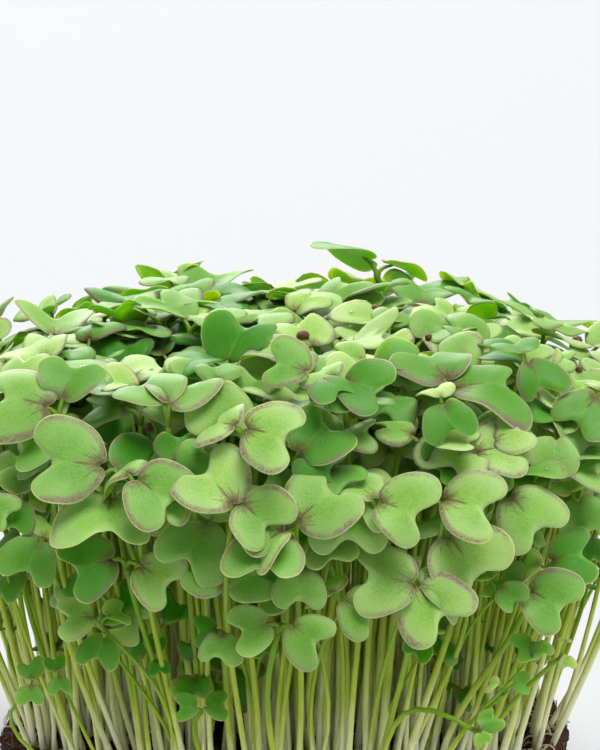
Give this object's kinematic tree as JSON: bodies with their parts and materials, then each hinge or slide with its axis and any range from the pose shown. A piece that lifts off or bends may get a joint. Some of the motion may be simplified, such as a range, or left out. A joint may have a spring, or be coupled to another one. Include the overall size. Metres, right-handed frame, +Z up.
{
  "type": "radish microgreens in a growing tray",
  "caption": "Dense dome of radish seedlings with two-lobed seed leaves, grown on a coir block that stands in a shallow round tray with drain holes.",
  "frame": {"origin": "middle of the flat underside of the tray, on the surface it stands on", "axes": "+Z up, out of the sown face; +X to the right and +Y away from the viewer of the front; the stand is round, so X and Y are not marked by the shape"},
  "size_m": [0.1386, 0.1354, 0.1036],
  "materials": {
    "tray_plastic": "satin",
    "coir": "matte",
    "leaf_green": "satin",
    "hull_brown": "satin"
  },
  "bodies": {
    "root": {"tray": "tray_plastic", "growing_medium": "coir", "seedling_01": "leaf_green", "seedling_02": "leaf_green", "seedling_03": "leaf_green", "seedling_04": "leaf_green", "seedling_05": "leaf_green", "seedling_06": "leaf_green", "seedling_07": "leaf_green", "seedling_08": "leaf_green", "seedling_09": "leaf_green", "seedling_10": "leaf_green", "seedling_11": "leaf_green", "seedling_12": "leaf_green", "seedling_13": "leaf_green", "seedling_14": "leaf_green", "seedling_15": "leaf_green", "seedling_16": "leaf_green", "seedling_17": "leaf_green", "seedling_18": "leaf_green", "seedling_19": "leaf_green", "seedling_20": "leaf_green", "seedling_21": "leaf_green", "seedling_22": "leaf_green", "seedling_23": "leaf_green", "seedling_24": "leaf_green", "seedling_25": "leaf_green", "seedling_26": "leaf_green", "seedling_27": "leaf_green", "seedling_28": "leaf_green", "seedling_29": "leaf_green", "seedling_30": "leaf_green", "seedling_31": "leaf_green", "seedling_32": "leaf_green", "seedling_33": "leaf_green", "seedling_34": "leaf_green", "seedling_35": "leaf_green", "seedling_36": "leaf_green", "seedling_37": "leaf_green", "seedling_38": "leaf_green", "seedling_39": "leaf_green", "seedling_40": "leaf_green", "seedling_41": "leaf_green", "seedling_42": "leaf_green", "seedling_43": "leaf_green", "seedling_44": "leaf_green", "seedling_45": "leaf_green", "seedling_46": "leaf_green", "seedling_47": "leaf_green", "seedling_48": "leaf_green", "seed_hull_01": "hull_brown", "seed_hull_02": "hull_brown", "seed_hull_03": "hull_brown", "seed_hull_04": "hull_brown"}
  },
  "joints": []
}
